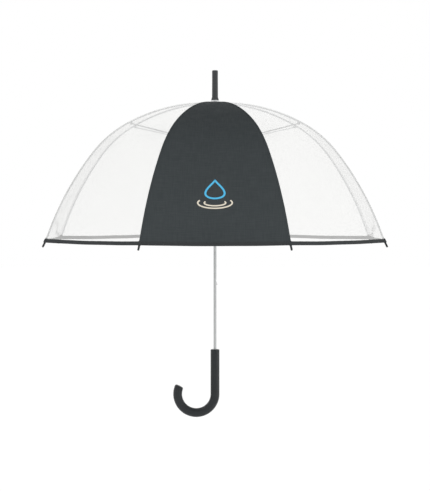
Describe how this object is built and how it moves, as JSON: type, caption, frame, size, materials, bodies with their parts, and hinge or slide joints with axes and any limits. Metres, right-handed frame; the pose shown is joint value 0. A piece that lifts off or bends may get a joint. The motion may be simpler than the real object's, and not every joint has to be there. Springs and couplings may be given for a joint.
{
  "type": "clear bubble umbrella",
  "caption": "Deep dome umbrella with clear film panels and one dark panel, on sprung ribs, with a sliding runner and a crook handle.",
  "frame": {"origin": "on the shaft's axis, at the middle of the handle's straight grip", "axes": "+Z along the shaft towards the ferrule; the crook hooks towards -X; the dark panel faces -Y"},
  "size_m": [0.7922, 0.7922, 0.8333],
  "materials": {
    "clear_film": "thin clear vinyl film, glossy, slightly milky",
    "dark_canopy": "opaque charcoal panel, matte, tight woven",
    "rib_steel": "light grey lacquered steel",
    "shaft_metal": "light silver-grey lacquer",
    "handle_plastic": "soft-touch charcoal plastic",
    "ferrule_plastic": "moulded charcoal plastic",
    "tip_plastic": "moulded charcoal plastic caps",
    "pale_plastic": "pale grey moulded nylon",
    "bright_wire": "bare spring steel"
  },
  "bodies": {
    "shaft": {"shaft_tube": "shaft_metal", "crook_handle": "handle_plastic", "handle_pin": "handle_plastic", "ferrule": "ferrule_plastic", "top_washer": "pale_plastic", "top_notch": "pale_plastic", "notch_wire": "bright_wire"},
    "runner": {"runner_sleeve": "pale_plastic", "runner_wire": "bright_wire"},
    "upper_catch": {"top_catch": "bright_wire"},
    "lower_catch": {"bottom_catch": "bright_wire"},
    "rib_1": {"rib_1_inner": "rib_steel"},
    "rib_1_end": {"rib_1_outer": "rib_steel", "rib_1_tip": "tip_plastic"},
    "strut_1": {"stretcher_1": "rib_steel"},
    "panel_1": {"panel_1_upper": "dark_canopy"},
    "panel_1_end": {"panel_1_lower": "dark_canopy"},
    "rib_2": {"rib_2_inner": "rib_steel"},
    "rib_2_end": {"rib_2_outer": "rib_steel", "rib_2_tip": "tip_plastic"},
    "strut_2": {"stretcher_2": "rib_steel"},
    "panel_2": {"panel_2_upper": "clear_film"},
    "panel_2_end": {"panel_2_lower": "clear_film"},
    "rib_3": {"rib_3_inner": "rib_steel"},
    "rib_3_end": {"rib_3_outer": "rib_steel", "rib_3_tip": "tip_plastic"},
    "strut_3": {"stretcher_3": "rib_steel"},
    "panel_3": {"panel_3_upper": "clear_film"},
    "panel_3_end": {"panel_3_lower": "clear_film"},
    "rib_4": {"rib_4_inner": "rib_steel"},
    "rib_4_end": {"rib_4_outer": "rib_steel", "rib_4_tip": "tip_plastic"},
    "strut_4": {"stretcher_4": "rib_steel"},
    "panel_4": {"panel_4_upper": "clear_film"},
    "panel_4_end": {"panel_4_lower": "clear_film"},
    "rib_5": {"rib_5_inner": "rib_steel"},
    "rib_5_end": {"rib_5_outer": "rib_steel", "rib_5_tip": "tip_plastic"},
    "strut_5": {"stretcher_5": "rib_steel"},
    "panel_5": {"panel_5_upper": "clear_film"},
    "panel_5_end": {"panel_5_lower": "clear_film"},
    "rib_6": {"rib_6_inner": "rib_steel"},
    "rib_6_end": {"rib_6_outer": "rib_steel", "rib_6_tip": "tip_plastic"},
    "strut_6": {"stretcher_6": "rib_steel"},
    "panel_6": {"panel_6_upper": "clear_film"},
    "panel_6_end": {"panel_6_lower": "clear_film"},
    "rib_7": {"rib_7_inner": "rib_steel"},
    "rib_7_end": {"rib_7_outer": "rib_steel", "rib_7_tip": "tip_plastic"},
    "strut_7": {"stretcher_7": "rib_steel"},
    "panel_7": {"panel_7_upper": "clear_film"},
    "panel_7_end": {"panel_7_lower": "clear_film"},
    "rib_8": {"rib_8_inner": "rib_steel"},
    "rib_8_end": {"rib_8_outer": "rib_steel", "rib_8_tip": "tip_plastic"},
    "strut_8": {"stretcher_8": "rib_steel"},
    "panel_8": {"panel_8_upper": "clear_film"},
    "panel_8_end": {"panel_8_lower": "clear_film"}
  },
  "joints": [
    {"name": "runner_slide", "type": "slide", "parent": "shaft", "child": "runner", "axis": [0, 0, 1], "range_m": [-0.31605, 0]},
    {"name": "upper_catch_press", "type": "hinge", "parent": "shaft", "child": "upper_catch", "pos_m": [0.0022, 0, 0.476], "axis": [0, -1, 0], "range_deg": [0, 7.05], "stiffness_Nm_per_rad": 0.05, "deforming": ["top_catch"]},
    {"name": "lower_catch_press", "type": "hinge", "parent": "shaft", "child": "lower_catch", "pos_m": [0.0022, 0, 0.23045], "axis": [0, 1, 0], "range_deg": [0, 7.05], "stiffness_Nm_per_rad": 0.05, "deforming": ["bottom_catch"]},
    {"name": "rib_1_hinge", "type": "hinge", "parent": "shaft", "child": "rib_1", "pos_m": [0.00344, -0.00831, 0.6451], "axis": [0.9239, 0.3827, 0], "range_deg": [0, 74.81]},
    {"name": "rib_1_flex", "type": "hinge", "parent": "rib_1", "child": "rib_1_end", "pos_m": [0.08456, -0.20414, 0.59322], "axis": [0.9239, 0.3827, 0], "range_deg": [-43.12, 0]},
    {"name": "stretcher_1_pivot", "type": "hinge", "parent": "rib_1", "child": "strut_1", "pos_m": [0.0808, -0.19507, 0.59161], "axis": [0.9239, 0.3827, 0], "range_deg": [-153.1, 0]},
    {"name": "panel_1_fold", "type": "hinge", "parent": "shaft", "child": "panel_1", "pos_m": [0, -0.00831, 0.64745], "axis": [1, 0, 0], "range_deg": [0, 72.47], "deforming": ["panel_1_upper"]},
    {"name": "panel_1_hang", "type": "hinge", "parent": "panel_1", "child": "panel_1_end", "pos_m": [0, -0.20487, 0.59432], "axis": [1, 0, 0], "range_deg": [-42.5, 0], "deforming": ["panel_1_lower"]},
    {"name": "rib_2_hinge", "type": "hinge", "parent": "shaft", "child": "rib_2", "pos_m": [0.00831, -0.00344, 0.6451], "axis": [0.3827, 0.9239, 0], "range_deg": [0, 74.81]},
    {"name": "rib_2_flex", "type": "hinge", "parent": "rib_2", "child": "rib_2_end", "pos_m": [0.20414, -0.08456, 0.59322], "axis": [0.3827, 0.9239, 0], "range_deg": [-43.12, 0]},
    {"name": "stretcher_2_pivot", "type": "hinge", "parent": "rib_2", "child": "strut_2", "pos_m": [0.19507, -0.0808, 0.59161], "axis": [0.3827, 0.9239, 0], "range_deg": [-153.1, 0]},
    {"name": "panel_2_fold", "type": "hinge", "parent": "shaft", "child": "panel_2", "pos_m": [0.00588, -0.00588, 0.64745], "axis": [0.7071, 0.7071, 0], "range_deg": [0, 72.47], "deforming": ["panel_2_upper"]},
    {"name": "panel_2_hang", "type": "hinge", "parent": "panel_2", "child": "panel_2_end", "pos_m": [0.14486, -0.14486, 0.59432], "axis": [0.7071, 0.7071, 0], "range_deg": [-42.5, 0], "deforming": ["panel_2_lower"]},
    {"name": "rib_3_hinge", "type": "hinge", "parent": "shaft", "child": "rib_3", "pos_m": [0.00831, 0.00344, 0.6451], "axis": [-0.3827, 0.9239, 0], "range_deg": [0, 74.81]},
    {"name": "rib_3_flex", "type": "hinge", "parent": "rib_3", "child": "rib_3_end", "pos_m": [0.20414, 0.08456, 0.59322], "axis": [-0.3827, 0.9239, 0], "range_deg": [-43.12, 0]},
    {"name": "stretcher_3_pivot", "type": "hinge", "parent": "rib_3", "child": "strut_3", "pos_m": [0.19507, 0.0808, 0.59161], "axis": [-0.3827, 0.9239, 0], "range_deg": [-153.1, 0]},
    {"name": "panel_3_fold", "type": "hinge", "parent": "shaft", "child": "panel_3", "pos_m": [0.00831, 0, 0.64745], "axis": [0, 1, 0], "range_deg": [0, 72.47], "deforming": ["panel_3_upper"]},
    {"name": "panel_3_hang", "type": "hinge", "parent": "panel_3", "child": "panel_3_end", "pos_m": [0.20487, 0, 0.59432], "axis": [0, 1, 0], "range_deg": [-42.5, 0], "deforming": ["panel_3_lower"]},
    {"name": "rib_4_hinge", "type": "hinge", "parent": "shaft", "child": "rib_4", "pos_m": [0.00344, 0.00831, 0.6451], "axis": [-0.9239, 0.3827, 0], "range_deg": [0, 74.81]},
    {"name": "rib_4_flex", "type": "hinge", "parent": "rib_4", "child": "rib_4_end", "pos_m": [0.08456, 0.20414, 0.59322], "axis": [-0.9239, 0.3827, 0], "range_deg": [-43.12, 0]},
    {"name": "stretcher_4_pivot", "type": "hinge", "parent": "rib_4", "child": "strut_4", "pos_m": [0.0808, 0.19507, 0.59161], "axis": [-0.9239, 0.3827, 0], "range_deg": [-153.1, 0]},
    {"name": "panel_4_fold", "type": "hinge", "parent": "shaft", "child": "panel_4", "pos_m": [0.00588, 0.00588, 0.64745], "axis": [-0.7071, 0.7071, 0], "range_deg": [0, 72.47], "deforming": ["panel_4_upper"]},
    {"name": "panel_4_hang", "type": "hinge", "parent": "panel_4", "child": "panel_4_end", "pos_m": [0.14486, 0.14486, 0.59432], "axis": [-0.7071, 0.7071, 0], "range_deg": [-42.5, 0], "deforming": ["panel_4_lower"]},
    {"name": "rib_5_hinge", "type": "hinge", "parent": "shaft", "child": "rib_5", "pos_m": [-0.00344, 0.00831, 0.6451], "axis": [-0.9239, -0.3827, 0], "range_deg": [0, 74.81]},
    {"name": "rib_5_flex", "type": "hinge", "parent": "rib_5", "child": "rib_5_end", "pos_m": [-0.08456, 0.20414, 0.59322], "axis": [-0.9239, -0.3827, 0], "range_deg": [-43.12, 0]},
    {"name": "stretcher_5_pivot", "type": "hinge", "parent": "rib_5", "child": "strut_5", "pos_m": [-0.0808, 0.19507, 0.59161], "axis": [-0.9239, -0.3827, 0], "range_deg": [-153.1, 0]},
    {"name": "panel_5_fold", "type": "hinge", "parent": "shaft", "child": "panel_5", "pos_m": [0, 0.00831, 0.64745], "axis": [-1, 0, 0], "range_deg": [0, 72.47], "deforming": ["panel_5_upper"]},
    {"name": "panel_5_hang", "type": "hinge", "parent": "panel_5", "child": "panel_5_end", "pos_m": [0, 0.20487, 0.59432], "axis": [-1, 0, 0], "range_deg": [-42.5, 0], "deforming": ["panel_5_lower"]},
    {"name": "rib_6_hinge", "type": "hinge", "parent": "shaft", "child": "rib_6", "pos_m": [-0.00831, 0.00344, 0.6451], "axis": [-0.3827, -0.9239, 0], "range_deg": [0, 74.81]},
    {"name": "rib_6_flex", "type": "hinge", "parent": "rib_6", "child": "rib_6_end", "pos_m": [-0.20414, 0.08456, 0.59322], "axis": [-0.3827, -0.9239, 0], "range_deg": [-43.12, 0]},
    {"name": "stretcher_6_pivot", "type": "hinge", "parent": "rib_6", "child": "strut_6", "pos_m": [-0.19507, 0.0808, 0.59161], "axis": [-0.3827, -0.9239, 0], "range_deg": [-153.1, 0]},
    {"name": "panel_6_fold", "type": "hinge", "parent": "shaft", "child": "panel_6", "pos_m": [-0.00588, 0.00588, 0.64745], "axis": [-0.7071, -0.7071, 0], "range_deg": [0, 72.47], "deforming": ["panel_6_upper"]},
    {"name": "panel_6_hang", "type": "hinge", "parent": "panel_6", "child": "panel_6_end", "pos_m": [-0.14486, 0.14486, 0.59432], "axis": [-0.7071, -0.7071, 0], "range_deg": [-42.5, 0], "deforming": ["panel_6_lower"]},
    {"name": "rib_7_hinge", "type": "hinge", "parent": "shaft", "child": "rib_7", "pos_m": [-0.00831, -0.00344, 0.6451], "axis": [0.3827, -0.9239, 0], "range_deg": [0, 74.81]},
    {"name": "rib_7_flex", "type": "hinge", "parent": "rib_7", "child": "rib_7_end", "pos_m": [-0.20414, -0.08456, 0.59322], "axis": [0.3827, -0.9239, 0], "range_deg": [-43.12, 0]},
    {"name": "stretcher_7_pivot", "type": "hinge", "parent": "rib_7", "child": "strut_7", "pos_m": [-0.19507, -0.0808, 0.59161], "axis": [0.3827, -0.9239, 0], "range_deg": [-153.1, 0]},
    {"name": "panel_7_fold", "type": "hinge", "parent": "shaft", "child": "panel_7", "pos_m": [-0.00831, 0, 0.64745], "axis": [0, -1, 0], "range_deg": [0, 72.47], "deforming": ["panel_7_upper"]},
    {"name": "panel_7_hang", "type": "hinge", "parent": "panel_7", "child": "panel_7_end", "pos_m": [-0.20487, 0, 0.59432], "axis": [0, -1, 0], "range_deg": [-42.5, 0], "deforming": ["panel_7_lower"]},
    {"name": "rib_8_hinge", "type": "hinge", "parent": "shaft", "child": "rib_8", "pos_m": [-0.00344, -0.00831, 0.6451], "axis": [0.9239, -0.3827, 0], "range_deg": [0, 74.81]},
    {"name": "rib_8_flex", "type": "hinge", "parent": "rib_8", "child": "rib_8_end", "pos_m": [-0.08456, -0.20414, 0.59322], "axis": [0.9239, -0.3827, 0], "range_deg": [-43.12, 0]},
    {"name": "stretcher_8_pivot", "type": "hinge", "parent": "rib_8", "child": "strut_8", "pos_m": [-0.0808, -0.19507, 0.59161], "axis": [0.9239, -0.3827, 0], "range_deg": [-153.1, 0]},
    {"name": "panel_8_fold", "type": "hinge", "parent": "shaft", "child": "panel_8", "pos_m": [-0.00588, -0.00588, 0.64745], "axis": [0.7071, -0.7071, 0], "range_deg": [0, 72.47], "deforming": ["panel_8_upper"]},
    {"name": "panel_8_hang", "type": "hinge", "parent": "panel_8", "child": "panel_8_end", "pos_m": [-0.14486, -0.14486, 0.59432], "axis": [0.7071, -0.7071, 0], "range_deg": [-42.5, 0], "deforming": ["panel_8_lower"]}
  ],
  "couplings": [
    {"joint": "rib_1_hinge", "follows": "runner_slide", "rad_per_m": -4.129},
    {"joint": "rib_1_flex", "follows": "runner_slide", "rad_per_m": 2.3803},
    {"joint": "stretcher_1_pivot", "follows": "runner_slide", "rad_per_m": 8.4503},
    {"joint": "panel_1_fold", "follows": "runner_slide", "rad_per_m": -3.9999},
    {"joint": "panel_1_hang", "follows": "runner_slide", "rad_per_m": 2.346},
    {"joint": "rib_2_hinge", "follows": "runner_slide", "rad_per_m": -4.129},
    {"joint": "rib_2_flex", "follows": "runner_slide", "rad_per_m": 2.3803},
    {"joint": "stretcher_2_pivot", "follows": "runner_slide", "rad_per_m": 8.4503},
    {"joint": "panel_2_fold", "follows": "runner_slide", "rad_per_m": -3.9999},
    {"joint": "panel_2_hang", "follows": "runner_slide", "rad_per_m": 2.346},
    {"joint": "rib_3_hinge", "follows": "runner_slide", "rad_per_m": -4.129},
    {"joint": "rib_3_flex", "follows": "runner_slide", "rad_per_m": 2.3803},
    {"joint": "stretcher_3_pivot", "follows": "runner_slide", "rad_per_m": 8.4503},
    {"joint": "panel_3_fold", "follows": "runner_slide", "rad_per_m": -3.9999},
    {"joint": "panel_3_hang", "follows": "runner_slide", "rad_per_m": 2.346},
    {"joint": "rib_4_hinge", "follows": "runner_slide", "rad_per_m": -4.129},
    {"joint": "rib_4_flex", "follows": "runner_slide", "rad_per_m": 2.3803},
    {"joint": "stretcher_4_pivot", "follows": "runner_slide", "rad_per_m": 8.4503},
    {"joint": "panel_4_fold", "follows": "runner_slide", "rad_per_m": -3.9999},
    {"joint": "panel_4_hang", "follows": "runner_slide", "rad_per_m": 2.346},
    {"joint": "rib_5_hinge", "follows": "runner_slide", "rad_per_m": -4.129},
    {"joint": "rib_5_flex", "follows": "runner_slide", "rad_per_m": 2.3803},
    {"joint": "stretcher_5_pivot", "follows": "runner_slide", "rad_per_m": 8.4503},
    {"joint": "panel_5_fold", "follows": "runner_slide", "rad_per_m": -3.9999},
    {"joint": "panel_5_hang", "follows": "runner_slide", "rad_per_m": 2.346},
    {"joint": "rib_6_hinge", "follows": "runner_slide", "rad_per_m": -4.129},
    {"joint": "rib_6_flex", "follows": "runner_slide", "rad_per_m": 2.3803},
    {"joint": "stretcher_6_pivot", "follows": "runner_slide", "rad_per_m": 8.4503},
    {"joint": "panel_6_fold", "follows": "runner_slide", "rad_per_m": -3.9999},
    {"joint": "panel_6_hang", "follows": "runner_slide", "rad_per_m": 2.346},
    {"joint": "rib_7_hinge", "follows": "runner_slide", "rad_per_m": -4.129},
    {"joint": "rib_7_flex", "follows": "runner_slide", "rad_per_m": 2.3803},
    {"joint": "stretcher_7_pivot", "follows": "runner_slide", "rad_per_m": 8.4503},
    {"joint": "panel_7_fold", "follows": "runner_slide", "rad_per_m": -3.9999},
    {"joint": "panel_7_hang", "follows": "runner_slide", "rad_per_m": 2.346},
    {"joint": "rib_8_hinge", "follows": "runner_slide", "rad_per_m": -4.129},
    {"joint": "rib_8_flex", "follows": "runner_slide", "rad_per_m": 2.3803},
    {"joint": "stretcher_8_pivot", "follows": "runner_slide", "rad_per_m": 8.4503},
    {"joint": "panel_8_fold", "follows": "runner_slide", "rad_per_m": -3.9999},
    {"joint": "panel_8_hang", "follows": "runner_slide", "rad_per_m": 2.346}
  ]
}
